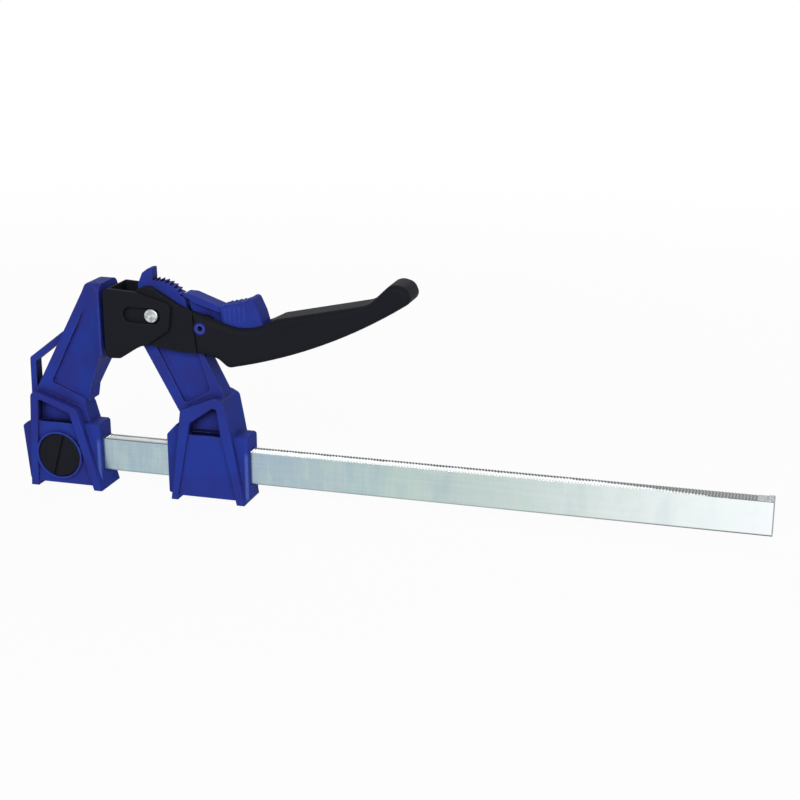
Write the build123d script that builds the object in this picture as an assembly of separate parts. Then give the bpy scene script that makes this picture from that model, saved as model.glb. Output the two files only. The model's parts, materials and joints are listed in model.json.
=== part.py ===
from build123d import *
import math
import os

os.makedirs("parts", exist_ok=True)

# A lever bar clamp. The origin is the centre of the fixed jaw's clamping face, X runs along the bar
# to its free end, Z rises from the bar to the tips of the jaws and Y goes through the clamp's width.
# Sizes are in millimetres and angles in degrees.

# Bar
bar_length = 370.0
bar_height = 17.0
bar_thickness = 7.5
bar_start = -44.0
bar_corner = 0.5
tooth_pitch = 1.5
tooth_depth = 0.4
teeth_start = -4.0
stop_length = 5.0
stop_height = 0.9
stop_width = 4.4

# Both jaws
throat_depth = 80.0
face_height = 36.0
jaw_width = 22.0
roof_height = 8.0
floor_height = 7.2
foot_height = 2.3
core_wall = 3.0
mouth_edge = 2.0
panel_recess = 1.5
pocket_web = 8.0
leg_edge = 0.9
arm_edge = 0.6
recess_fillet = 1.2
passage_play = 0.3
passage_side_play = 0.25

# Fixed jaw
fixed_arm_width = 11.0
arm_recess = 2.0
face_corner = 5.0
face_foot_corner = 2.0
face_rim = 1.0
flare_radius = 33.0
crown = 1.0
loop_width = 6.0
fixed_left = -46.0
fixed_right = -4.6
spout_setback = 1.0

# Lock of the fixed jaw
lock_x = -27.1
lock_drop = 0.6
lock_disc_radius = 11.2
lock_disc_thickness = 2.6
lock_disc_play = 0.35
lock_disc_sink = 0.4
lock_rim_width = 1.0
lock_rim_height = 1.5
coin_slot_width = 1.7
coin_slot_depth = 1.4
coin_slot_lean = 16.0
lock_pin_radius = 4.0
lock_pin_flats = 5.0
lock_running_play = 0.06
lock_ring_radius = 5.6
lock_ring_thickness = 1.0
lock_groove_depth = 0.8
lock_ring_opening = 70.0
back_recess_radius = 7.5
back_recess_depth = 2.5
keyway_play = 0.2

# Sliding jaw, placed by its pivot
face_gap = 2.2
pivot_reach = 25.2
pivot_height = 5.4
pivot_pin_radius = 3.5
head_width = 10.0
hub_radius = 9.2
head_recess = 2.0
base_left = 3.8
base_right = 46.6
plate_length = 7.5
plate_width = 6.4
plate_thickness = 2.8
plate_inset = 1.0

# Toothed sector of the sliding jaw
sector_width = 6.0
sector_tip_radius = 16.5
sector_root_radius = 15.2
sector_pitch = 9.0
sector_steps = 6
sector_first_angle = 37.1
sector_low_angle = 8.0
horn_angle = 97.6
horn_height = 21.8

# Lever
lever_width = 20.0
cheek_width = 18.0
cheek_gap = 0.4
lever_running_play = 0.08
cam_reach = 21.8
cam_low = 14.6
lever_edge = 3.0
channel_width = 13.6
channel_floor = -9.8
channel_start = 29.6
channel_end = 57.6
rib_spacing = 12.5
rib_thickness = 1.8
underside_width = 13.0
hollow_start = 54.0
hollow_past_bend = 5.1
lever_skin = 4.6

# Outline of the lever, from the pivot
hub_top_x = -3.6
hub_top_z = 14.9
shoulder_x = 14.5
shoulder_z = 4.4
step_top_x = 20.3
step_low_x = 22.1
step_low_z = -17.65
cheek_low_x = 13.6
cheek_front_x = -3.2
cheek_front_z = -15.2
cam_corner_z = -13.2
cam_corner = 2.0
waist_x = 48.5
waist_z = -5.6
hump_x = 63.0
hump_z = 1.9
grip_length = 45.9
grip_rise = 9.9
knob_reach = 11.5
knob_height = 11.2
knob_length = 7.0
knob_fall = 1.9
tip_length = 2.9
tip_fall = 6.4
belly_x = 88.4
belly_z = -12.6
belly_straight = 5.5
heel_x = 38.3
heel_z = -24.1
neck_x = 32.9
neck_z = -19.7

# Shoe
shoe_width = 23.0
shoe_side_wall = 2.2
shoe_front_wall = 3.2
shoe_slot_height = 8.0
shoe_slot_back = 1.2
shoe_slot_spare = 3.5
shoe_edge = 0.8

# Trigger
trigger_pin_x = 24.9
trigger_pin_z = -4.9
trigger_pin_radius = 3.35
trigger_pin_bore = 1.35
trigger_pin_proud = 0.2
trigger_running_play = 0.08
trigger_hub_radius = 5.6
trigger_side_play = 0.3
tongue_width = 8.0
tongue_peak_x = 19.0
tongue_peak_z = 10.5
thumb_width = 12.4
saddle_x = 33.6
saddle_z = 5.5
saddle_end_x = 43.5
saddle_end_z = 7.8
thumb_rise_x = 47.2
thumb_rise_z = 9.3
thumb_peak_x = 50.4
thumb_peak_z = 11.5
thumb_back_x = 54.2
thumb_back_z = 3.2
thumb_end_x = 55.9
thumb_end_z = -3.0
thumb_low_z = -5.2
nose_gap = 0.4
nose_tip_play = 0.45
nose_height = 1.3
nose_lift = 4.2
thumb_edge = 1.4
ridge_count = 4
ridge_radius = 0.8
ridge_sunk = 0.4
ridge_pitch = 2.4

# Trigger spring
spring_x = 45.5
spring_wire = 0.8
spring_radius = 2.3
spring_turns = 5
spring_seat_depth = 3.2
spring_pocket_play = 0.6
spring_end_play = 0.05
spring_top_seat = -1.0

# Derived places
bar_top = face_height / 2 - throat_depth
bar_bottom = bar_top - bar_height
bar_middle = bar_top - bar_height / 2
bar_end = bar_start + bar_length
block_top = bar_top + roof_height
block_bottom = bar_bottom - floor_height
foot_bottom = block_bottom - foot_height
jaw_half = jaw_width / 2
core_half = bar_thickness / 2 + passage_side_play + core_wall
panel_half = jaw_half - panel_recess
pivot_x = face_gap + pivot_reach
pivot_z = pivot_height
cam_turn = sector_pitch * sector_steps
shoe_stroke = cam_reach - cam_low
cam_rise = shoe_stroke / math.radians(cam_turn)
through = 2 * bar_length
lock_z = bar_middle - lock_drop
bend_x = hump_x + grip_length
bend_z = hump_z + grip_rise
knob_x = bend_x + knob_reach
knob_z = bend_z + knob_height
knob_end_x = knob_x + knob_length
knob_end_z = knob_z - knob_fall
tip_x = knob_end_x + tip_length
tip_z = knob_end_z - tip_fall
hollow_end = bend_x + hollow_past_bend


def outline(corners):
    """Closed face in the XZ plane. A corner is (x, z), or (x, z, radius) where it is rounded."""
    places = [Vector(corner[0], 0, corner[1]) for corner in corners]
    radii = [corner[2] if len(corner) > 2 else 0 for corner in corners]
    count = len(places)
    arrivals = []
    leavings = []
    edges = []
    for i, place in enumerate(places):
        into = (place - places[i - 1]).normalized()
        out = (places[(i + 1) % count] - place).normalized()
        half_turn = math.radians(into.get_angle(out)) / 2
        trim = radii[i] * math.tan(half_turn)
        arrivals.append(place - into * trim)
        leavings.append(place + out * trim)
        if radii[i]:
            inward = (out - into).normalized()
            middle = place + inward * (radii[i] / math.cos(half_turn) - radii[i])
            edges.append(ThreePointArc(arrivals[i], middle, leavings[i]))
    for i in range(count):
        edges.append(Line(leavings[i - 1], arrivals[i]))
    return Face(Wire.combine(edges)[0])


def plate(face, width):
    """Solid of a face in the XZ plane, half its width to each side."""
    return extrude(face, width / 2, dir=(0, 1, 0), both=True)


def slab(face, y_from, y_to):
    """Solid of a face in the XZ plane between two places on Y."""
    return Pos(0, y_from, 0) * extrude(face, y_to - y_from, dir=(0, 1, 0))


def softened(solid, radius):
    """Plate with the edges round both of its sides rounded."""
    return fillet(solid.edges().filter_by(Axis.Y, reverse=True), radius)


def sink(solid, face, depth, half_width):
    """Plate with a recess on each side, whose floor meets its walls in a fillet."""
    for side in (-1, 1):
        places = sorted((side * (half_width - depth), side * 2 * half_width))
        tool = slab(face, *places)
        floor_edges = tool.edges().filter_by(Axis.Y, reverse=True).group_by(Axis.Y)[0 if side > 0 else -1]
        solid -= fillet(floor_edges, recess_fillet)
    return solid


def widest_round(before, place, after, straight):
    """Radius of the arc at a corner that leaves a straight stretch on its shorter side."""
    into = Vector(place[0] - before[0], place[1] - before[1])
    out = Vector(after[0] - place[0], after[1] - place[1])
    half_turn = math.radians(into.get_angle(out)) / 2
    return (min(into.length, out.length) - straight) / math.tan(half_turn)


def block(x_from, x_to, y_from, y_to, z_from, z_to):
    """Box between pairs of places."""
    middle = Pos((x_from + x_to) / 2, (y_from + y_to) / 2, (z_from + z_to) / 2)
    return middle * Box(x_to - x_from, y_to - y_from, z_to - z_from)


def rod(x, z, radius, y_from, y_to):
    """Round rod along Y."""
    return Pos(x, (y_from + y_to) / 2, z) * Rot(90, 0, 0) * Cylinder(radius, y_to - y_from)


def polar(radius, angle):
    """Place at a radius and an angle about the pivot."""
    turn = math.radians(angle)
    return pivot_x + radius * math.cos(turn), pivot_z + radius * math.sin(turn)


def from_pivot(x, z, *radius):
    """Corner given from the pivot."""
    return (pivot_x + x, pivot_z + z) + radius


def from_bar(x, z, *radius):
    """Corner of the sliding jaw's base: x from the pivot, z from the bar's top."""
    return (pivot_x + x, bar_top + z) + radius


def base_frame(outer, inner):
    """Wide legs round a panel: a deep pocket above the passage, a shallow recess beside it."""
    legs = softened(plate(outline(outer), jaw_width) - plate(outline(inner), through), leg_edge)
    below = block(-through, through, -through, through, -through, block_bottom)
    web = plate(outline(outer), pocket_web) - below
    low = block(-through, through, -through, through, block_bottom, block_top)
    panel = plate(outline(inner), 2 * panel_half) & low
    return legs + web + panel


def passage(x_from, x_to):
    """Room for the bar with its play."""
    half = bar_thickness / 2 + passage_side_play
    return block(x_from, x_to, -half, half, bar_bottom - passage_play, bar_top + passage_play)


# Bar: teeth across the top edge, a keyway for the lock at the hidden end, a peened stop at the free end
teeth_stop = bar_end - stop_length - tooth_pitch
tooth_count = int((teeth_stop - teeth_start) / tooth_pitch)
crest = [(bar_start, bar_top)]
for i in range(tooth_count):
    crest.append((teeth_start + i * tooth_pitch, bar_top))
    crest.append((teeth_start + (i + 0.5) * tooth_pitch, bar_top - tooth_depth))
crest.append((teeth_start + tooth_count * tooth_pitch, bar_top))
crest += [(bar_end, bar_top), (bar_end, bar_bottom), (bar_start, bar_bottom)]
bar = plate(outline(crest), bar_thickness)
low_edges = bar.edges().filter_by(Axis.X).group_by(Axis.Z)[0]
bar = chamfer(low_edges, bar_corner)
stop_low = bar_top - stop_height
stop = outline([
    (bar_end - stop_length, stop_low), (bar_end - stop_length / 2, bar_top + stop_height, 1.2),
    (bar_end, bar_top + stop_height, 0.6), (bar_end, stop_low),
])
bar += plate(stop, stop_width)
keyhole = lock_pin_radius + lock_running_play
keyway = lock_pin_flats / 2 + keyway_play
bar -= rod(lock_x, lock_z, keyhole, -bar_thickness, bar_thickness)
bar -= block(bar_start - 1, lock_x, -bar_thickness, bar_thickness, lock_z - keyway, lock_z + keyway)

# Fixed jaw
arm_top = face_height / 2 + crown
face_bottom = -face_height / 2
arm_shape = outline([
    (-face_rim / 2, arm_top, 0.8), (-9.0, arm_top, 5.0), (-40.3, bar_top + 23.5), (-40.3, block_top),
    (-11.5, block_top), (-13.6, bar_top + 18.3, 3.0), (-1.9, face_bottom),
    (-face_rim / 2, face_bottom + face_rim),
])
arm_panel = outline([
    (-8.0, 11.3), (-31.3, bar_top + 28.0, 1.5), (-11.0, bar_top + 19.7), (-8.0, bar_top + 38.0),
])
fixed_arm = softened(plate(arm_shape, fixed_arm_width), arm_edge)
fixed_arm = sink(fixed_arm, arm_panel, arm_recess, fixed_arm_width / 2)
face_shape = Rot(0, 0, 90) * outline([
    (-jaw_half, arm_top, face_corner), (jaw_half, arm_top, face_corner),
    (jaw_half, face_bottom, face_foot_corner), (-jaw_half, face_bottom, face_foot_corner),
])
head_shape = Rot(0, 0, 90) * outline([
    (-jaw_half, arm_top, face_corner), (jaw_half, arm_top, face_corner),
    (jaw_half, block_top), (-jaw_half, block_top),
])
fixed_jaw = fixed_arm + extrude(face_shape, face_rim, dir=(-1, 0, 0))
web_half = fixed_arm_width / 2 - arm_recess
flare_out = jaw_half - web_half
flare_length = math.sqrt(2 * flare_radius * flare_out - flare_out ** 2)
flare_left = -face_rim - flare_length
flare = block(flare_left, 0, -jaw_half, jaw_half, -through, through)
for side in (-1, 1):
    flare -= Pos(flare_left, side * (web_half + flare_radius), 0) * Cylinder(flare_radius, 2 * through)
head = extrude(head_shape, face_rim + flare_length, dir=(-1, 0, 0)) & plate(arm_shape, jaw_width)
fixed_jaw += flare & head
fixed_jaw += flare & plate(arm_panel, fixed_arm_width)
fixed_frame = base_frame(
    [
        (-44.0, foot_bottom), (-41.2, bar_top + 24.6, 3.0), (-16.0, bar_top + 16.2, 4.0),
        (fixed_right, foot_bottom),
    ],
    [
        (-40.0, foot_bottom - 1), (-37.0, bar_top + 19.8, 1.0), (-20.4, bar_top + 13.4, 1.5),
        (fixed_right - 4.0, foot_bottom - 1),
    ],
)
fixed_core = plate(outline([
    (fixed_left, block_bottom, 1.0), (fixed_left - 2.4, bar_top + 4.0, 1.5),
    (fixed_left, bar_top + 6.0, 1.0), (-38.0, block_top),
    (fixed_right - spout_setback, block_top, 1.5), (fixed_right - spout_setback, block_bottom),
]), 2 * core_half)
fixed_core = fillet(fixed_core.edges().filter_by(Axis.Z).group_by(Axis.X)[-1], mouth_edge)
loop = plate(outline([
    (-22.8, -6.5), (-44.0, -22.8, 2.0), (-44.4, bar_top + 18), (-41.0, bar_top + 18),
    (-41.0, -24.6, 1.2), (-20.8, -9.1),
]), loop_width)
fixed_jaw += fixed_frame + fixed_core + loop
rim = lock_disc_radius + lock_disc_play
rim_front = -panel_half - lock_rim_height
disc_front = rim_front + lock_disc_sink
disc_back = disc_front + lock_disc_thickness
fixed_jaw += rod(lock_x, lock_z, rim + lock_rim_width, rim_front, 0)
fixed_jaw -= rod(lock_x, lock_z, rim, -through, disc_back + lock_disc_play)
fixed_jaw -= rod(lock_x, lock_z, lock_pin_radius + lock_running_play, -jaw_width, jaw_width)
back_floor = panel_half - back_recess_depth
fixed_jaw -= rod(lock_x, lock_z, back_recess_radius, back_floor, jaw_width)
fixed_jaw -= passage(bar_start - passage_play, through)

# Lock: a slotted disc pressed on a flatted pin, kept by a snap ring in the back recess
lock_disc = rod(lock_x, lock_z, lock_disc_radius, disc_front, disc_back)
lock_disc = fillet(lock_disc.edges().group_by(Axis.Y)[0], 0.6)
coin_slot = block(
    -coin_slot_width / 2, coin_slot_width / 2, disc_front - 1, disc_front + coin_slot_depth,
    -through, through,
)
lock_disc -= Pos(lock_x, 0, lock_z) * Rot(0, coin_slot_lean, 0) * coin_slot
pin_front = disc_back - (lock_disc_thickness - coin_slot_depth) / 2
lock_disc -= rod(lock_x, lock_z, lock_pin_radius, pin_front, 0)
ring_low = back_floor + passage_play / 2
ring_high = ring_low + lock_ring_thickness
pin_back = ring_high + lock_ring_thickness
lock_pin = rod(lock_x, lock_z, lock_pin_radius, pin_front, pin_back)
groove_radius = lock_pin_radius - lock_groove_depth
lock_pin -= (
    rod(lock_x, lock_z, lock_pin_radius + 1, ring_low, ring_high)
    - rod(lock_x, lock_z, groove_radius, ring_low, ring_high)
)
flat_reach = bar_thickness / 2 + passage_side_play
for side in (-1, 1):
    flat = sorted((lock_x + side * lock_pin_flats / 2, lock_x + side * 2 * lock_pin_radius))
    lock_pin -= block(*flat, -flat_reach, flat_reach, lock_z - bar_height, lock_z + bar_height)
lock_ring = rod(lock_x, lock_z, lock_ring_radius, ring_low, ring_high)
lock_ring -= rod(lock_x, lock_z, groove_radius, ring_low, ring_high)
half_opening = math.radians(lock_ring_opening / 2)
mouth = 2 * lock_ring_radius
lock_ring -= slab(outline([
    (lock_x, lock_z),
    (lock_x + mouth * math.cos(half_opening), lock_z - mouth * math.sin(half_opening)),
    (lock_x + mouth * math.cos(half_opening), lock_z + mouth * math.sin(half_opening)),
]), ring_low, ring_high)

# Sliding jaw: arm and pivot head between the lever's cheeks, toothed sector and horn, base on the bar
slide_arm = plate(outline([
    from_pivot(-hub_radius, 0), from_pivot(-hub_radius, -13.7, 6.0), from_bar(10.5, 17.5),
    from_bar(14.0, 10.0), from_bar(34.0, 10.0), from_bar(33.8, 29.0), from_pivot(25.0, -21.0, 3.0),
    from_pivot(18.6, -10.4, 4.0), polar(sector_root_radius, 0), from_pivot(0, hub_radius / 2),
]), head_width)
head_panel = outline([
    from_pivot(-4.1, -10.0, 2.0), from_pivot(15.0, -10.0, 2.0), from_pivot(21.6, -18.6, 2.0),
    from_bar(27.4, 30.4, 2.0), from_bar(13.4, 22.6, 2.0),
])
slide_arm = sink(slide_arm, head_panel, head_recess, head_width / 2)
slide_arm += rod(pivot_x, pivot_z, hub_radius, -head_width / 2, head_width / 2)
sector = [(pivot_x, pivot_z), polar(sector_root_radius, sector_low_angle)]
for step in range(-1, sector_steps + 1):
    sector.append(polar(sector_tip_radius, sector_first_angle + step * sector_pitch))
    sector.append(polar(sector_root_radius, sector_first_angle + (step + 1) * sector_pitch))
slide_arm += plate(outline(sector), sector_width)
slide_arm += plate(outline([
    polar(sector_root_radius, horn_angle), from_pivot(-2.1, horn_height, 0.5),
    from_pivot(-4.3, horn_height - 0.3, 1.0), from_pivot(-7.4, horn_height - 2.6, 2.0),
    from_pivot(-9.9, 13.3, 1.5), from_pivot(-8.6, 3.0), (pivot_x, pivot_z),
]), sector_width)
slide_frame = base_frame(
    [
        (pivot_x + 6.2, foot_bottom), from_bar(12.8, 20.6, 3.0), from_bar(31.1, 28.4, 4.0),
        from_bar(36.2, 25.7, 3.0), from_bar(38.2, 14.6), (pivot_x + 45.1, foot_bottom),
    ],
    [
        (pivot_x + 9.5, foot_bottom - 1), from_bar(17.7, 14.2, 1.0), from_bar(29.9, 22.7, 1.0),
        from_bar(31.9, 22.2, 1.0), from_bar(33.6, 9.0), (pivot_x + 41.3, foot_bottom - 1),
    ],
)
slide_core = plate(outline([
    (pivot_x + base_left, block_bottom, 1.0), (pivot_x + base_left, bar_top + 6.5, 2.0),
    from_bar(9.0, 12.0), from_bar(12.0, 8.0),
    (pivot_x + base_right, block_top, 1.5), (pivot_x + base_right, block_bottom),
]), 2 * core_half)
slide_core = fillet(slide_core.edges().filter_by(Axis.Z).group_by(Axis.X)[-1], mouth_edge)
sliding_jaw = slide_arm + slide_frame + slide_core
sliding_jaw -= passage(-through, through)
roof = bar_top + passage_play
floor = bar_bottom - passage_play
bite_right = pivot_x + base_right - plate_inset
bite_box = block(
    bite_right - plate_length, bite_right, -plate_width / 2, plate_width / 2, roof, roof + plate_thickness,
)
heel_left = pivot_x + base_left + plate_inset
heel_plate = block(
    heel_left, heel_left + plate_length, -plate_width / 2, plate_width / 2, floor - plate_thickness, floor,
)
sliding_jaw -= bite_box
sliding_jaw -= heel_plate
sliding_jaw -= rod(pivot_x, pivot_z, pivot_pin_radius, -jaw_width, jaw_width)
bite_plate = bite_box
for i in range(int(plate_length / tooth_pitch)):
    notch = bite_right - plate_length + i * tooth_pitch
    bite_plate -= plate(outline([
        (notch, roof), (notch + tooth_pitch / 2, roof + tooth_depth), (notch + tooth_pitch, roof),
    ]), plate_width)
pivot_pin = rod(pivot_x, pivot_z, pivot_pin_radius, -shoe_width / 2, shoe_width / 2)
pivot_pin = chamfer(pivot_pin.edges().filter_by(GeomType.CIRCLE), 0.4)

# Lever: a cam edge that pushes the shoe by the same amount for each degree, then cheeks and grip
def cam_place(angle):
    """Place on the cam where it touches a wall square to the angle, with the lever closed."""
    reach = cam_reach - cam_rise * math.radians(180 - angle)
    turn = math.radians(angle)
    x = reach * math.cos(turn) - cam_rise * math.sin(turn)
    z = reach * math.sin(turn) + cam_rise * math.cos(turn)
    return from_pivot(x, z)


cam_parts = 8
cam_edge = [cam_place(180 - cam_turn * i / cam_parts) for i in range(cam_parts + 1)]
top_slope = (waist_z - shoulder_z) / (waist_x - shoulder_x)
step_top = from_pivot(step_top_x, shoulder_z + top_slope * (step_top_x - shoulder_x))
step_low = from_pivot(step_low_x, step_low_z)
tip = from_pivot(tip_x, tip_z)
belly = from_pivot(belly_x, belly_z)
heel = from_pivot(heel_x, heel_z)
belly_radius = widest_round(tip, belly, heel, belly_straight)
cheeks = plate(outline(cam_edge + [
    from_pivot(hub_top_x, hub_top_z, 7.0), from_pivot(shoulder_x, shoulder_z, 30.0), step_top, step_low,
    from_pivot(cheek_low_x, step_low_z, 8.0), from_pivot(cheek_front_x, cheek_front_z, 8.0),
    from_pivot(cam_corner / 4 - cam_reach, cam_corner_z, cam_corner),
]), cheek_width)
grip = plate(outline([
    step_top, from_pivot(waist_x, waist_z, 25.0), from_pivot(hump_x, hump_z, 6.0),
    from_pivot(bend_x, bend_z, 12.0), from_pivot(knob_x, knob_z, 6.0),
    from_pivot(knob_end_x, knob_end_z, 5.0), tip + (4.0,), belly + (belly_radius,), heel + (4.0,),
    from_pivot(neck_x, neck_z, 6.0), step_low,
]), lever_width)
grip_edges = grip.edges().filter_by(Axis.Y, reverse=True)
grip = fillet(grip_edges, lever_edge)
lever = cheeks + grip
fork = head_width / 2 + cheek_gap
lever -= block(-through, pivot_x + channel_start + 1, -fork, fork, -through, through)
channel = channel_width / 2
lever -= block(
    pivot_x + channel_start, pivot_x + channel_end, -channel, channel, pivot_z + channel_floor, through,
)
hollow = plate(outline([
    from_pivot(hollow_start, -through), from_pivot(hollow_start, channel_floor - lever_skin, 1.5),
    from_pivot(hump_x, hump_z - 2 * lever_skin, 3.0),
    from_pivot(hump_x + lever_skin, hump_z - lever_skin, 3.0), from_pivot(bend_x, bend_z - lever_skin),
    from_pivot(hollow_end, bend_z - lever_skin, 1.5), from_pivot(hollow_end, -through),
]), underside_width)
rib_x = pivot_x + hollow_start + rib_spacing
while rib_x < pivot_x + hollow_end:
    hollow -= block(rib_x, rib_x + rib_thickness, -through, through, -through, through)
    rib_x += rib_spacing
lever -= hollow
lever -= rod(pivot_x, pivot_z, pivot_pin_radius + lever_running_play, -lever_width, lever_width)
axle_x = pivot_x + trigger_pin_x
axle_z = pivot_z + trigger_pin_z
lever -= rod(axle_x, axle_z, trigger_pin_radius, -lever_width, lever_width)
seat_x = pivot_x + spring_x
seat_low = pivot_z + channel_floor - spring_seat_depth
seat_radius = spring_radius + spring_wire / 2 + spring_pocket_play
lever -= Pos(seat_x, 0, seat_low + through / 2) * Cylinder(seat_radius, through)
trigger_pin_half = lever_width / 2 + trigger_pin_proud
trigger_pin = rod(axle_x, axle_z, trigger_pin_radius, -trigger_pin_half, trigger_pin_half)
trigger_pin -= rod(axle_x, axle_z, trigger_pin_bore, -lever_width, lever_width)

# Shoe: a front wall with a wing on each side, slotted for the pivot pin
shoe_half_height = face_height / 2 - 0.4
shoe = plate(outline([
    (face_gap, shoe_half_height, 3.0), (face_gap, -shoe_half_height, 3.0), from_pivot(-17.3, -22.6, 3.0),
    from_pivot(-6.9, -15.9, 3.0), from_pivot(-3.2, -15.1, 3.0), from_pivot(9.1, -6.7, 3.0),
    from_pivot(10.6, 5.9, 3.5), from_pivot(-6.9, 11.1, 8.0),
]), shoe_width)
outer_edges = shoe.edges().filter_by(Axis.Y, reverse=True)
shoe = fillet(outer_edges, shoe_edge)
shoe_room = shoe_width / 2 - shoe_side_wall
shoe -= block(face_gap + shoe_front_wall, through, -shoe_room, shoe_room, -through, through)
slot_front = -shoe_stroke - shoe_slot_spare
slot_radius = shoe_slot_height / 2
shoe -= plate(outline([
    from_pivot(slot_front - slot_radius, slot_radius, slot_radius * 0.999),
    from_pivot(shoe_slot_back + slot_radius, slot_radius, slot_radius * 0.999),
    from_pivot(shoe_slot_back + slot_radius, -slot_radius, slot_radius * 0.999),
    from_pivot(slot_front - slot_radius, -slot_radius, slot_radius * 0.999),
]), through)

# Trigger, drawn with its nose just clear of the sector's teeth
def lifted(place):
    """Place on the nose after the trigger has lifted it off the sector."""
    turn = math.radians(nose_lift)
    x = place[0] - axle_x
    z = place[1] - axle_z
    along = x * math.cos(turn) + z * math.sin(turn)
    up = z * math.cos(turn) - x * math.sin(turn)
    return axle_x + along, axle_z + up


nose_angle = sector_first_angle - math.degrees(nose_gap / sector_root_radius)
nose_low = sector_root_radius + nose_tip_play
nose_tip = lifted(polar(nose_low, nose_angle))
nose_top = lifted(polar(nose_low + nose_height, nose_angle))
tongue_low = sector_tip_radius + nose_tip_play
nose_heel = lifted(polar(tongue_low, sector_first_angle - sector_pitch))
tongue_middle = lifted(polar(tongue_low, (sector_first_angle - sector_pitch + sector_low_angle) / 2))
tongue_foot = lifted(polar(tongue_low, sector_low_angle))
trigger = plate(outline([
    nose_tip, nose_top, from_pivot(tongue_peak_x, tongue_peak_z, 3.0),
    from_pivot(saddle_x + 1.0, saddle_z - 0.6), from_pivot(saddle_x + 2.0, saddle_z - 4.0),
    from_pivot(tongue_peak_x + 1.5, tongue_peak_z - 4.6), nose_heel,
]), tongue_width)
trigger_hub_half = fork - trigger_side_play
trigger += rod(axle_x, axle_z, trigger_hub_radius, -trigger_hub_half, trigger_hub_half)
trigger += plate(outline([
    nose_heel, from_pivot(tongue_peak_x, tongue_peak_z - 1.0), from_pivot(saddle_x + 1.4, saddle_z - 1.5),
    from_pivot(saddle_x + 1.4, thumb_end_z), (axle_x, axle_z - trigger_hub_radius / 2),
    tongue_foot, tongue_middle,
]), tongue_width / 2)
saddle_low = from_pivot(saddle_x, saddle_z)
saddle_high = from_pivot(saddle_end_x, saddle_end_z)
thumb = plate(outline([
    saddle_low, saddle_high, from_pivot(thumb_rise_x, thumb_rise_z),
    from_pivot(thumb_peak_x, thumb_peak_z, 2.0), from_pivot(thumb_back_x, thumb_back_z, 10.0),
    from_pivot(thumb_end_x, thumb_end_z), from_pivot(thumb_end_x, thumb_low_z),
    from_pivot(saddle_x + thumb_edge, thumb_low_z),
]), thumb_width)
thumb = fillet(thumb.edges().filter_by(Axis.Y, reverse=True), thumb_edge)
saddle_slope = (saddle_high[1] - saddle_low[1]) / (saddle_high[0] - saddle_low[0])
for i in range(ridge_count):
    ridge_x = saddle_high[0] - i * ridge_pitch
    ridge_z = saddle_high[1] - i * ridge_pitch * saddle_slope - ridge_sunk
    thumb += rod(ridge_x, ridge_z, ridge_radius, thumb_edge - thumb_width / 2, thumb_width / 2 - thumb_edge)
trigger += thumb
trigger -= rod(axle_x, axle_z, trigger_pin_radius + trigger_running_play, -lever_width, lever_width)
seat_high = pivot_z + spring_top_seat
trigger -= Pos(seat_x, 0, seat_high - through / 2) * Cylinder(seat_radius, through)

# Trigger spring: one round wire, wound up the middle of its two seats
def coil_place(turn):
    """Centre of the wire after some turns, and its direction there."""
    angle = 2 * math.pi * turn
    low = seat_low + spring_end_play + spring_wire / 2
    high = seat_high - spring_end_play - spring_wire / 2
    rise = (high - low) / spring_turns
    place = Vector(
        seat_x + spring_radius * math.cos(angle), spring_radius * math.sin(angle), low + rise * turn,
    )
    way = Vector(-math.sin(angle), math.cos(angle), rise / (2 * math.pi * spring_radius)).normalized()
    return place, way


def two_arcs(start, start_way, finish, finish_way):
    """Two arcs that meet smoothly and keep the directions at both ends."""
    span = finish - start
    ways = start_way + finish_way
    spread = 2 * (1 - start_way.dot(finish_way))
    reach = (-span.dot(ways) + math.sqrt(span.dot(ways) ** 2 + spread * span.dot(span))) / spread
    first_corner = start + start_way * reach
    last_corner = finish - finish_way * reach
    joint = (first_corner + last_corner) * 0.5
    joint_way = (last_corner - first_corner).normalized()
    return [TangentArc(start, joint, tangent=start_way), TangentArc(joint, finish, tangent=joint_way)]


coil = []
for quarter in range(4 * spring_turns):
    coil += two_arcs(*coil_place(quarter / 4), *coil_place((quarter + 1) / 4))
coil_start, coil_way = coil_place(0)
wire_end = Plane(origin=coil_start, z_dir=coil_way) * Circle(spring_wire / 2)
trigger_spring = sweep(wire_end, path=Wire.combine(coil)[0])
turn_points = 40
coil_points = [coil_place(i / turn_points)[0] for i in range(turn_points * spring_turns + 1)]
spacings = []
for i, place in enumerate(coil_points):
    for other in coil_points[i + turn_points // 2:]:
        spacings.append((other - place).length)
print("least gap between the spring's turns", round(min(spacings) - spring_wire, 3))

pieces = {
    "bar": bar, "fixed_jaw": fixed_jaw, "lock_disc": lock_disc, "lock_pin": lock_pin,
    "lock_ring": lock_ring, "sliding_jaw": sliding_jaw, "bite_plate": bite_plate,
    "heel_plate": heel_plate, "pivot_pin": pivot_pin, "lever": lever, "shoe": shoe,
    "trigger": trigger, "trigger_pin": trigger_pin, "trigger_spring": trigger_spring,
}
for name, piece in pieces.items():
    export_step(piece, f"parts/{name}.step")
    print(name, len(piece.solids()), round(piece.volume, 1))
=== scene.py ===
# %% [markdown]
# # A lever bar clamp
# The clamp is a flat plated bar with two blue moulded jaws. A black hand lever on the sliding jaw
# pushes a shoe against the work, and a sprung trigger holds the lever. Its solids are packed already.
# They could be modelled again here, but a copy might no longer fit, so they stay where they are. This
# lesson gives them finishes, ribs for the thumb, a wound spring, light and a camera.

# %% Load the packed solids
import json
import math

import bmesh
import bpy
from mathutils import Matrix, Vector


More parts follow.
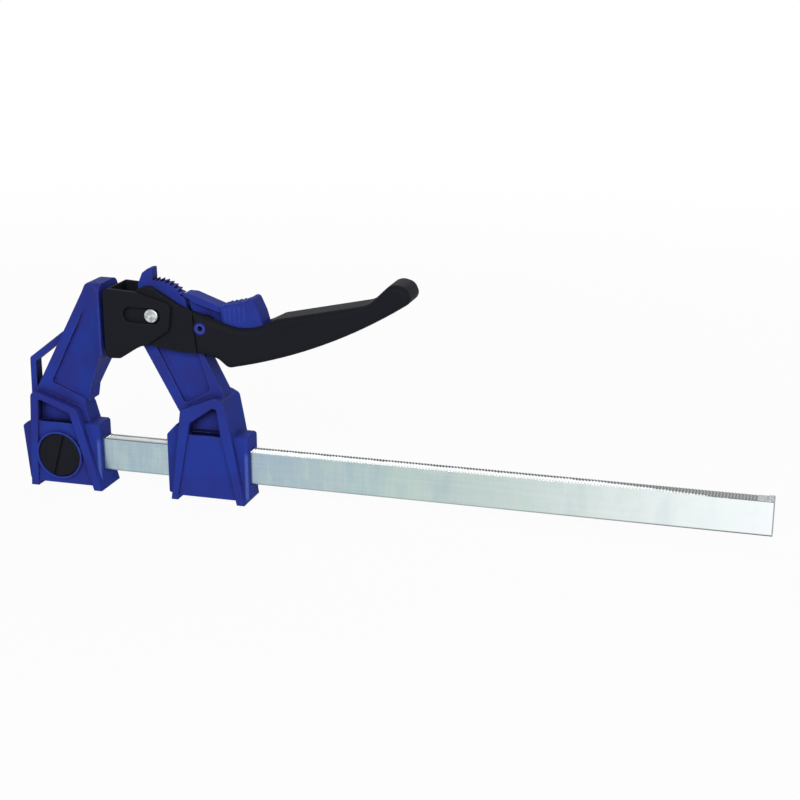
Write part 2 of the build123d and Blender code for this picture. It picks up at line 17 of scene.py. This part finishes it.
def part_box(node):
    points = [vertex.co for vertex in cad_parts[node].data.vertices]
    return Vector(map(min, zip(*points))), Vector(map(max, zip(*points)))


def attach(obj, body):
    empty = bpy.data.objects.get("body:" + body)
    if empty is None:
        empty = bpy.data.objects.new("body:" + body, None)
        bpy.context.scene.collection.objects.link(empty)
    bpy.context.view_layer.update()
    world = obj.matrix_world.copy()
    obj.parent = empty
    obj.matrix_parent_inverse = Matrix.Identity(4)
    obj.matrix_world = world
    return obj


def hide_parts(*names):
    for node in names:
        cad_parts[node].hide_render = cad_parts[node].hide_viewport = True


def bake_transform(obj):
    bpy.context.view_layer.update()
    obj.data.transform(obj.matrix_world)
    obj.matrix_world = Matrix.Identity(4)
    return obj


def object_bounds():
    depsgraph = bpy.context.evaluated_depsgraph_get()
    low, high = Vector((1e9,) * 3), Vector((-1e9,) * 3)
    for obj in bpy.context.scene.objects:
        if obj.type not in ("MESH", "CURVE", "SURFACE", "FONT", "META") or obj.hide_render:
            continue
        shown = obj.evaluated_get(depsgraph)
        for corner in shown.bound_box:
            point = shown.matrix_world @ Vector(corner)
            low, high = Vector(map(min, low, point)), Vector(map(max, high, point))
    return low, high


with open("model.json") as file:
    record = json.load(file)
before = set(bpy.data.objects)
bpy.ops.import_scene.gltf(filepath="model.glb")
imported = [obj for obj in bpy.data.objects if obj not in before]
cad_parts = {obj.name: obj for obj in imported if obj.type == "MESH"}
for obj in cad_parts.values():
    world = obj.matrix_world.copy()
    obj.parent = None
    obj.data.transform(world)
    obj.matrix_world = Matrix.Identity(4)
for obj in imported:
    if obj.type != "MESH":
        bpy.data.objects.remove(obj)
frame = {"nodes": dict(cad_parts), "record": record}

solids = frame["nodes"]
slot_of = {row["node"]: row["material_slot"] for row in frame["record"]["subparts"]}
solid_low, solid_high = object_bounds()
MM = 0.001
print("solids:", len(solids), "box in mm:", [round(side / MM, 1) for side in solid_high - solid_low])

# %% [markdown]
# ## Camera
# The clamp is seen from the front, a little from the right and from above. A camera can be aimed by
# hand or by angles, and angles are easier to write down. A lens of 70 mm on a 36 mm sensor fits the
# perspective: the bar's edges run together towards the left at the right rate.

# %% Camera
look_down, turn_left = 17.18, 15.9
camera_data = bpy.data.cameras.new("camera")
camera_data.lens = 70
camera_data.sensor_width = 36
camera = bpy.data.objects.new("camera", camera_data)
camera.location = (0.34326, -0.68021, 0.18867)
camera.rotation_euler = (math.radians(90 - look_down), 0, math.radians(turn_left))
bpy.context.scene.collection.objects.link(camera)
bpy.context.scene.camera = camera
bpy.context.scene.view_settings.view_transform = "Standard"
print("camera at", [round(place, 3) for place in camera.location])

# %% [markdown]
# ## Sums of sockets
# A finish is a small tree of nodes, and most of its nodes do arithmetic. They could be added and
# linked one by one. A class that stands for a node's output and knows plus, minus and times lets the
# tree be written as a sum instead, which is easier to read than a list of nodes and links.

# %% A socket that can be used in sums
class Socket:
    """An output of a node. Sums with it add Math nodes to the same tree."""

    def __init__(self, nodes, output):
        self.nodes = nodes
        self.output = output

    def math(self, operation, first, second=0.0):
        """Adds one Math node."""
        return self.nodes.node("Math", {"operation": operation}, {0: first, 1: second})

    def __add__(self, other):
        return self.math("ADD", self, other)

    def __radd__(self, other):
        return self.math("ADD", other, self)

    def __sub__(self, other):
        return self.math("SUBTRACT", self, other)

    def __rsub__(self, other):
        return self.math("SUBTRACT", other, self)

    def __mul__(self, other):
        return self.math("MULTIPLY", self, other)

    def __rmul__(self, other):
        return self.math("MULTIPLY", other, self)

    def __abs__(self):
        return self.math("ABSOLUTE", self)


print("Socket:", Socket.__doc__)


# %% A tree of nodes
class Nodes:
    """The node tree of a material or of the world, built up node by node."""

    def __init__(self, owner):
        self.owner = owner
        owner.use_nodes = True
        self.tree = owner.node_tree
        self.tree.nodes.clear()

    def node(self, kind, settings=None, values=None, output=0):
        """Adds one node: its settings first, then the values or links of its sockets."""
        made = self.tree.nodes.new("ShaderNode" + kind)
        for name, setting in (settings or {}).items():
            setattr(made, name, setting)
        for name, value in (values or {}).items():
            if isinstance(value, Socket):
                self.tree.links.new(value.output, made.inputs[name])
            else:
                made.inputs[name].default_value = value
        if made.outputs:
            return Socket(self, made.outputs[output])


print("Nodes:", Nodes.__doc__)


# %% [markdown]
# ## What finishes are made from
# All the finishes share a few means: smooth spans, noise of a size in metres, a mask for edges, which
# carry wear and painted highlights, a mask for hollows, which carry painted shade, and a fine relief.
# Wear could be painted on as a picture, but masks worked out from the shape need none. Places are read in
# the clamp's own frame, so a streak on the bar stays on the bar. A hollow counts the piece alone, so no
# painted shade is left behind when a neighbour moves away.

# %% The means of a finish
class Finish(Nodes):
    """A material of one of the clamp's pieces, or of the floor."""

    def __init__(self, name):
        super().__init__(bpy.data.materials.new(name))
        self.place = self.node("TexCoord", output="Object")

    def along(self, axis):
        """Place along X, Y or Z in metres."""
        return self.node("SeparateXYZ", None, {"Vector": self.place}, output=axis)

    def away(self, middle, ways=(1, 1, 1)):
        """Distance in metres from a place, in the ways that count."""
        place = self.node("VectorMath", {"operation": "SUBTRACT"}, {0: self.place, 1: middle})
        place = self.node("VectorMath", {"operation": "MULTIPLY"}, {0: place, 1: ways})
        return self.node("VectorMath", {"operation": "LENGTH"}, {0: place}, output=1)

    def span(self, value, low, high, to_low=0.0, to_high=1.0):
        """Takes a value from one span to another, with smooth ends."""
        settings = {"interpolation_type": "SMOOTHSTEP"}
        values = {"Value": value, 1: low, 2: high, 3: to_low, 4: to_high}
        return self.node("MapRange", settings, values)

    def below(self, value, limit, fade):
        """One up to a limit, none from a fade past it."""
        return self.span(value, limit, limit + fade, 1.0, 0.0)

    def noise(self, size, detail=2.0, stretch=(1, 1, 1)):
        """Soft noise with spots about a size across, in metres, and longer where it is stretched."""
        scale = [1 / (size * each) for each in stretch]
        place = self.node("VectorMath", {"operation": "MULTIPLY"}, {0: self.place, 1: scale})
        return self.node("TexNoise", None, {"Vector": place, "Scale": 1.0, "Detail": detail})

    def blend(self, share, first, second):
        """Mixes two colours."""
        settings = {"data_type": "RGBA", "blend_type": "MIX"}
        return self.node("Mix", settings, {0: share, 6: first, 7: second}, output=2)

    def coats(self, tone, *coats):
        """Lays colours over a tone, each by its share, with the last on top."""
        for share, paint in coats:
            tone = self.blend(share, tone, paint)
        return tone

    def rounded(self, reach):
        """Normal of the surface with its edges rounded."""
        return self.node("Bevel", {"samples": 6}, {"Radius": reach})

    # Edges found this way carry wear and painted highlights.
    def wear_and_highlight_mask(self, reach):
        """One on edges, none on open ground."""
        still_flat, well_rounded = 0.995, 0.80
        flat = self.node("NewGeometry", output="Normal")
        settings = {"operation": "DOT_PRODUCT"}
        same = self.node("VectorMath", settings, {0: self.rounded(reach), 1: flat}, output=1)
        return self.span(same, still_flat, well_rounded)

    # Hollows found this way carry painted shade.
    def hollow(self, reach):
        """One deep in a hollow of the piece itself, none on open ground."""
        settings = {"samples": 8, "only_local": True}
        return 1 - self.node("AmbientOcclusion", settings, {"Distance": reach}, output="AO")

    def seam(self):
        """One on the thin line that a mould leaves along the middle."""
        return self.below(abs(self.along("Y")), 0.1 * MM, 0.2 * MM)

    def relief(self, height, depth, under):
        """Normal of a fine relief of a depth in metres, on top of another normal."""
        return self.node("Bump", None, {"Height": height, "Distance": depth, "Normal": under})

    def shade(self, **values):
        """Ends the tree in one Principled surface."""
        values = {name.replace("_", " "): each for name, each in values.items()}
        surface = self.node("BsdfPrincipled", None, values)
        self.node("OutputMaterial", None, {"Surface": surface})
        print(self.owner.name, len(self.tree.nodes), "nodes")
        return self.owner


print("Finish:", Finish.__doc__)


# %% Colours as they are seen
def colour(red, green, blue):
    """A colour given as it is seen, from 0 to 255, as the shader needs it."""
    parts = [part / 255 for part in (red, green, blue)]
    return [part / 12.92 if part < 0.04045 else ((part + 0.055) / 1.055) ** 2.4 for part in parts] + [1.0]


print("mid grey in the shader:", round(colour(128, 128, 128)[0], 3))

# %% [markdown]
# ## Blue moulded plastic
# The jaws, the trigger and its pin are glass-filled nylon. It comes out of its mould with a fine even
# texture and slightly cloudy, and the mould leaves a thin seam along the middle. Painted shade turns it
# violet in hollows and near black far inside them. Edges are paler, partly from rubbing and partly from a
# painted highlight. A plain blue would look like a toy. Noise makes the texture and the clouds, and the
# masks for edges and hollows do the rest. Two marks are found by their place: painted shade darkens the
# end of the trigger's pin round the outside, where it sits sunk in its hole, and a painted highlight lies
# on the round corners of both mouths where the bar comes out. The fronts of the mouths are open to the
# light, so they get little painted shade.

# %% The pin's end
blue = Finish("blue_moulding")
pin_low, pin_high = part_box("trigger_pin")
pin_radius, rim_radius, rim_fade = 3.4 * MM, 2.3 * MM, 0.6 * MM
from_axis = blue.away((pin_low + pin_high) / 2, (1, 0, 1))
pin_end = blue.below(from_axis, pin_radius, 0.1 * MM)
# Painted shade round the outside of the pin's end, where it sits sunk in its hole.
pin_rim_shade = pin_end * blue.span(from_axis, rim_radius, rim_radius + rim_fade)
print("trigger pin's middle in mm:", [round(place / MM, 1) for place in (pin_low + pin_high) / 2])

# %% The jaws' mouths
mouth_ends = (-5.6 * MM, 74.0 * MM)
mouth_length, mouth_half, mouth_round = 9.0 * MM, 7.0 * MM, 2.0 * MM
mouth_top, highlight_top = -57.0 * MM, -65.0 * MM
mouths = mouth_highlight = 0.0
for mouth_end in mouth_ends:
    from_end = mouth_end - blue.along("X")
    from_corner = abs(from_end - 0.6 * mouth_round)
    from_middle = abs(from_end - 0.5 * mouth_length)
    # Painted highlight on the round corner of each mouth, where the bar comes out.
    mouth_highlight = mouth_highlight + blue.below(from_corner, 0.2 * mouth_round, 0.3 * mouth_round)
    mouths = mouths + blue.below(from_middle, 0.5 * mouth_length, 0.05 * mouth_length)
mouths = mouths * blue.below(abs(blue.along("Y")), mouth_half, 0.3 * MM)
mouths = mouths * blue.below(blue.along("Z"), mouth_top, 3.0 * MM)
mouth_highlight = mouth_highlight * mouths * blue.below(blue.along("Z"), highlight_top, 4.0 * MM)
print("mouths with_painted_highlights:", len(mouth_ends))

# %% Blue plastic
cloud = blue.span(blue.noise(20 * MM, 3.0), 0.35, 0.65)
grain = blue.noise(0.6 * MM)
# Painted shade: violet in creases and near black far inside hollows, less on the open fronts of the
# mouths.
in_light = 1 - 0.8 * mouths
crease = blue.span(blue.hollow(5 * MM), 0.08, 0.50) * in_light
deep = blue.span(blue.hollow(14 * MM), 0.34, 0.70) * in_light
# Edges paler from rubbing, with a painted highlight on them too.
edge_wear_and_highlight = blue.wear_and_highlight_mask(0.7 * MM) * blue.span(blue.noise(4 * MM, 3.0), 0.35, 0.65, 0.35, 1.0)
blue_tone = blue.coats(
    blue.blend(cloud, colour(41, 49, 125), colour(38, 55, 141)),
    (crease * 0.55, colour(40, 30, 88)),
    (deep * 0.9, colour(8, 9, 38)),
    (edge_wear_and_highlight * 0.6, colour(82, 94, 180)),
    (pin_end * 0.4, colour(70, 72, 138)),
    (pin_rim_shade * 0.8, colour(16, 14, 62)),
    (mouth_highlight * 0.36, colour(104, 124, 190)),
)
blue_plastic = blue.shade(
    Base_Color=blue_tone,
    Specular_IOR_Level=0.03,
    Roughness=0.44 + 0.08 * cloud + 0.06 * grain,
    Normal=blue.relief(grain + 1.5 * blue.seam(), 0.03 * MM, blue.rounded(0.4 * MM)),
)

# %% [markdown]
# ## Black moulded plastic
# The lever, the shoe and the lock's disc are black and more matt, with a coarser spark texture. Hands
# wear the edges of the lever to a dark grey, and the edges carry a painted highlight as well. The same
# masks as on the blue serve here, without the painted shade in hollows, which can't be seen on black.

# %% Black plastic
black = Finish("black_moulding")
cloud = black.noise(20 * MM, 3.0)
grain = black.noise(0.8 * MM, 3.0)
# Edges paler from rubbing, with a painted highlight on them too.
edge_wear_and_highlight = black.wear_and_highlight_mask(0.7 * MM) * black.span(black.noise(3 * MM, 3.0), 0.35, 0.65, 0.3, 1.0)
black_tone = black.coats(
    black.blend(cloud, colour(23, 25, 30), colour(29, 30, 36)),
    (edge_wear_and_highlight * 0.45, colour(58, 60, 66)),
)
black_plastic = black.shade(
    Base_Color=black_tone,
    Specular_IOR_Level=0.03,
    Roughness=0.46 + 0.12 * cloud + 0.08 * grain,
    Normal=black.relief(grain + black.seam(), 0.05 * MM, black.rounded(0.5 * MM)),
)

# %% [markdown]
# ## Plated bar
# The bar is drawn steel under bright zinc. Its sides carry a painted reflection, bluer by the jaws and
# paler towards the free end. The zinc has clouds from the bath, faint streaks from the drawing and
# fainter ones where it was brushed across. Its lower edge carries a painted dark reflection, and a thin
# band at the free end is darker. The top is bright, and its teeth get painted shade in their grooves,
# most of it between the jaws and along both edges, while a painted dark reflection covers more and more
# of the width towards the free end. Noise that is stretched along the bar or across it makes the streaks.
# The teeth are in the solid, so their grooves are found by height.

# %% The zinc on the bar's sides
bar_low, bar_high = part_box("bar")
plated = Finish("zinc_plating")
along, across, up = (plated.along(axis) for axis in "XYZ")
streak = plated.noise(0.5 * MM, 3.0, (70, 1, 1))
brushing = plated.noise(0.8 * MM, 2.0, (1, 1, 25))
cloud = plated.noise(6 * MM, 3.0, (1, 1, 2))
bath = plated.noise(14 * MM, 2.0, (1, 1, 4))
# Painted reflection on the sides: bluer and darker by the jaws, near white towards the free end.
far = plated.span(along, 160 * MM, 345 * MM)
near = 1 - far
past_jaws = plated.span(along, 70 * MM, 170 * MM)
side_tone_and_reflection = plated.coats(
    plated.blend(past_jaws, colour(163, 184, 195), colour(186, 203, 199)),
    (far, colour(248, 253, 254)),
    (plated.span(cloud, 0.45, 0.65, 0.0, 0.35) * near, colour(186, 208, 194)),
    (plated.span(bath, 0.48, 0.65, 0.0, 0.35) * near, colour(148, 174, 194)),
    (plated.span(streak, 0.4, 0.7, 0.0, 0.08), colour(236, 242, 243)),
    (plated.span(brushing, 0.45, 0.7, 0.0, 0.09), colour(226, 236, 234)),
)
print("bar from", round(bar_low.x / MM, 1), "to", round(bar_high.x / MM, 1), "mm")

# %% Painted reflection on the edges and painted shade in the teeth
stop_height = 0.9 * MM
tooth_top = bar_high.z - stop_height
# Painted dark reflection along the lower edge.
low_edge_reflection = plated.below(up, bar_low.z + 0.4 * MM, 0.7 * MM)
# A thin band at the free end is darker.
end_edge = plated.span(along, bar_high.x - 0.6 * MM, bar_high.x - 0.2 * MM)
top = plated.span(up, tooth_top - 0.50 * MM, tooth_top - 0.42 * MM)
groove = plated.below(up, tooth_top - 0.24 * MM, 0.14 * MM)
edge = plated.span(abs(across), 1.0 * MM, 2.4 * MM)
by_jaws = plated.below(along, 30 * MM, 30 * MM)
# Painted dark reflection across the teeth, reaching over more of the width towards the free end.
from_back = across + plated.span(along, 240 * MM, 320 * MM) * 6 * MM + cloud * 3 * MM
dark_reflection_on_teeth = plated.span(from_back, 2.3 * MM, 3.3 * MM)
# Painted shade in the grooves of the teeth, most between the jaws and along both edges.
bar_tone = plated.coats(
    side_tone_and_reflection,
    (low_edge_reflection * (0.35 + 0.65 * far), colour(58, 66, 68)),
    (end_edge * 0.8, colour(96, 104, 106)),
    (top * 0.85, colour(247, 250, 250)),
    (top * groove * edge * 0.35, colour(62, 68, 68)),
    (top * by_jaws * (0.2 + 0.2 * edge + 0.7 * groove), colour(30, 34, 34)),
    (top * dark_reflection_on_teeth * (0.7 + 0.14 * near + 0.14 * groove), colour(48, 54, 54)),
)
plated_steel = plated.shade(
    Base_Color=bar_tone,
    Metallic=1.0,
    Roughness=0.24 + 0.12 * streak + 0.06 * cloud,
    Normal=plated.relief(streak, 0.012 * MM, plated.rounded(0.3 * MM)),
)

# %% [markdown]
# ## Ground steel and spring wire
# Pins and plates are ground bright. The wire of the spring is drawn and a little darker. The two
# differ only in colour and shine, so one function makes both, with fine scratches from stretched noise.

# %% Ground steel and spring wire
def bare_steel(name, dull, bright, roughness):
    """Steel with fine scratches across it."""
    steel = Finish(name)
    scratch = steel.noise(0.3 * MM, 2.0, (1, 14, 1))
    stain = steel.noise(1.6 * MM, 3.0)
    return steel.shade(
        Base_Color=steel.blend(steel.span(stain, 0.3, 0.7), colour(*dull), colour(*bright)),
        Metallic=1.0,
        Roughness=roughness + 0.12 * scratch,
        Normal=steel.relief(scratch, 0.01 * MM, steel.rounded(0.3 * MM)),
    )


finishes = {
    "blue_plastic": blue_plastic, "black_plastic": black_plastic, "plated_steel": plated_steel,
    "plain_steel": bare_steel("ground_steel", (140, 148, 150), (214, 222, 222), 0.22),
    "spring_steel": bare_steel("spring_wire", (150, 152, 154), (182, 184, 186), 0.30),
}

# %% Finishes on the solids
for node, solid in solids.items():
    solid.data.materials.clear()
    solid.data.materials.append(finishes[slot_of[node]])
    print(node, "in", solid.data.materials[0].name)

# %% [markdown]
# ## Ribs on the thumb piece
# The trigger's thumb piece has ridges across its top, and faint ribs of the same pitch down both
# sides. A bump in the finish would leave the mesh flat, so the ribs are shapes. Half of a long narrow
# egg stands out of the side for each rib, so it fades at both ends. The ribs ride on the trigger.

# %% Ribs on the thumb piece
thumb_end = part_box("trigger")[1].x
side_half = 6.2 * MM
rib_count, rib_pitch = 5, 2.4 * MM
rib_half, rib_proud = 0.6 * MM, 0.15 * MM
rib_foot, first_top, top_slope = 3.4 * MM, 10.1 * MM, 0.23
first_rib = thumb_end - 19.4 * MM
rib_mesh = bpy.data.meshes.new("thumb_ribs")
built = bmesh.new()
for rib in range(rib_count):
    rib_x = first_rib + rib * rib_pitch
    rib_top = first_top + top_slope * rib * rib_pitch
    rib_size = Vector((rib_half, rib_proud, (rib_top - rib_foot) / 2))
    for side in (-1, 1):
        middle = Vector((rib_x, side * side_half, (rib_top + rib_foot) / 2))
        place = Matrix.LocRotScale(middle, None, rib_size)
        bmesh.ops.create_uvsphere(built, u_segments=16, v_segments=24, radius=1.0, matrix=place)
built.to_mesh(rib_mesh)
built.free()
rib_mesh.shade_smooth()
ribs = bpy.data.objects.new("thumb_ribs", rib_mesh)
bpy.context.scene.collection.objects.link(ribs)
ribs.data.materials.append(blue_plastic)
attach(ribs, "trigger")
print(ribs.name, len(rib_mesh.polygons), "faces")

# %% [markdown]
# ## Trigger spring
# The spring under the trigger is one round wire, wound open in the middle and close at both ends, where
# it sits in its two seats. A curve with a bevel would do, but a mesh tube is swept along the winding line
# instead. It stands in the place of the solid spring. Its lower seat is in the lever and its upper one in
# the trigger.

# %% Winding line
spring_low, spring_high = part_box("trigger_spring")
wire = 0.8 * MM
seat = wire * 1.02
turns, steps_in_turn = 7, 40
coil_radius = (spring_high.x - spring_low.x) / 2 - wire / 2
coil_middle = (spring_low + spring_high) / 2
open_rise = (spring_high.z - spring_low.z - wire - 2 * seat) / (turns - 2)


def winding(turn):
    """Place of the wire's middle after some turns: close first and last turns, open between."""
    low_rise = min(turn, 1) * seat
    middle_rise = max(min(turn, turns - 1) - 1, 0) * open_rise
    high_rise = max(turn - turns + 1, 0) * seat
    height = spring_low.z + wire / 2 + low_rise + middle_rise + high_rise
    angle = 2 * math.pi * turn
    out = Vector((math.cos(angle), math.sin(angle), 0)) * coil_radius
    return Vector((coil_middle.x, coil_middle.y, height)) + out


line = [winding(step / steps_in_turn) for step in range(turns * steps_in_turn + 1)]
print("spring wire in mm:", round(sum((b - a).length for a, b in zip(line, line[1:])) / MM, 1))

# %% Spring mesh
around = 12
points, faces = [], []
for step, place in enumerate(line):
    way = (line[min(step + 1, len(line) - 1)] - line[max(step - 1, 0)]).normalized()
    out = Vector((place.x - coil_middle.x, place.y - coil_middle.y, 0)).normalized()
    side = way.cross(out).normalized()
    for part in range(around):
        angle = 2 * math.pi * part / around
        points.append(place + (out * math.cos(angle) + side * math.sin(angle)) * wire / 2)
    for part in range(around if step else 0):
        first = step * around + part
        second = step * around + (part + 1) % around
        faces.append((first - around, second - around, second, first))
faces.append(tuple(range(around)))
faces.append(tuple(reversed(range(len(points) - around, len(points)))))
spring_mesh = bpy.data.meshes.new("wound_spring")
spring_mesh.from_pydata(points, [], faces)
spring_mesh.shade_smooth()
spring_mesh.set_sharp_from_angle(angle=math.radians(50))
print("wound_spring", len(spring_mesh.polygons), "faces")

# %% The spring between its seats
spring = bpy.data.objects.new("wound_spring", spring_mesh)
bpy.context.scene.collection.objects.link(spring)
spring.data.materials.append(finishes["spring_steel"])
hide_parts("trigger_spring")
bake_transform(spring)

# %% [markdown]
# ## Floor and light
# The clamp stands on the feet of its jaws, on a white floor and in soft light from the front. More
# light would whiten the floor, but it would bleach the clamp too. So the floor and the world show
# white of their own to the camera and to the steel, the floor all the more further away, and the
# floor keeps part of the clamp's shadow. Three large lamps give the soft light.

# %% Rays that show white
def sight(nodes):
    """One for rays from the camera, also when they are mirrored or go through glass."""
    kinds = ("Is Camera Ray", "Is Glossy Ray", "Is Transmission Ray")
    return sum(nodes.node("LightPath", output=kind) for kind in kinds)


WHITE = (1, 1, 1, 1)
print("sight:", sight.__doc__)

# %% Floor
floor_level = solid_low.z
far_away = 12.0
shadow_reach, all_white, share_near = 0.3, 1.2, 0.945
corners = [(x * far_away, y * far_away, floor_level) for x, y in ((-1, -1), (1, -1), (1, 1), (-1, 1))]
floor_mesh = bpy.data.meshes.new("floor")
floor_mesh.from_pydata(corners, [], [(0, 1, 2, 3)])
floor = bpy.data.objects.new("floor", floor_mesh)
bpy.context.scene.collection.objects.link(floor)
ground = Finish("white_floor")
paper = ground.node("BsdfDiffuse", None, {"Color": (0.8, 0.8, 0.8, 1)})
glow = ground.node("Emission", None, {"Color": WHITE, "Strength": 1.0})
share = ground.span(ground.away((0, 0, 0)), shadow_reach, all_white, share_near, 1.0)
seen = ground.node("MixShader", None, {0: sight(ground) * share, 1: paper, 2: glow})
ground.node("OutputMaterial", None, {"Surface": seen})
floor.data.materials.append(ground.owner)
print("floor at", round(floor_level / MM, 1), "mm")

# %% World
world = bpy.data.worlds.new("studio")
bpy.context.scene.world = world
sky = Nodes(world)
soft = sky.node("Background", None, {"Color": WHITE, "Strength": 0.33})
white = sky.node("Background", None, {"Color": WHITE, "Strength": 1.0})
seen = sky.node("MixShader", None, {0: sight(sky), 1: soft, 2: white})
sky.node("OutputWorld", None, {"Surface": seen})
print(world.name, len(sky.tree.nodes), "nodes")

# %% Lamps
clamp_middle = Vector((0.1, 0, -0.03))


def softbox(name, place, size, power):
    """A square lamp that looks at the clamp."""
    lamp = bpy.data.lights.new(name, "AREA")
    lamp.size = size
    lamp.energy = power
    box = bpy.data.objects.new(name, lamp)
    box.location = place
    box.rotation_euler = (clamp_middle - Vector(place)).to_track_quat("-Z", "Y").to_euler()
    bpy.context.scene.collection.objects.link(box)
    print(name, "at", place, power, "W")


softbox("key", (0.2, -2.4, 1.2), 1.2, 43)
softbox("fill", (1.6, -1.2, 0.7), 1.0, 12)
softbox("back", (-0.3, 2.2, 1.6), 1.2, 10)

# %% [markdown]
# ## Sizes
# Ribs, spring and finishes add nothing to the clamp's reach.
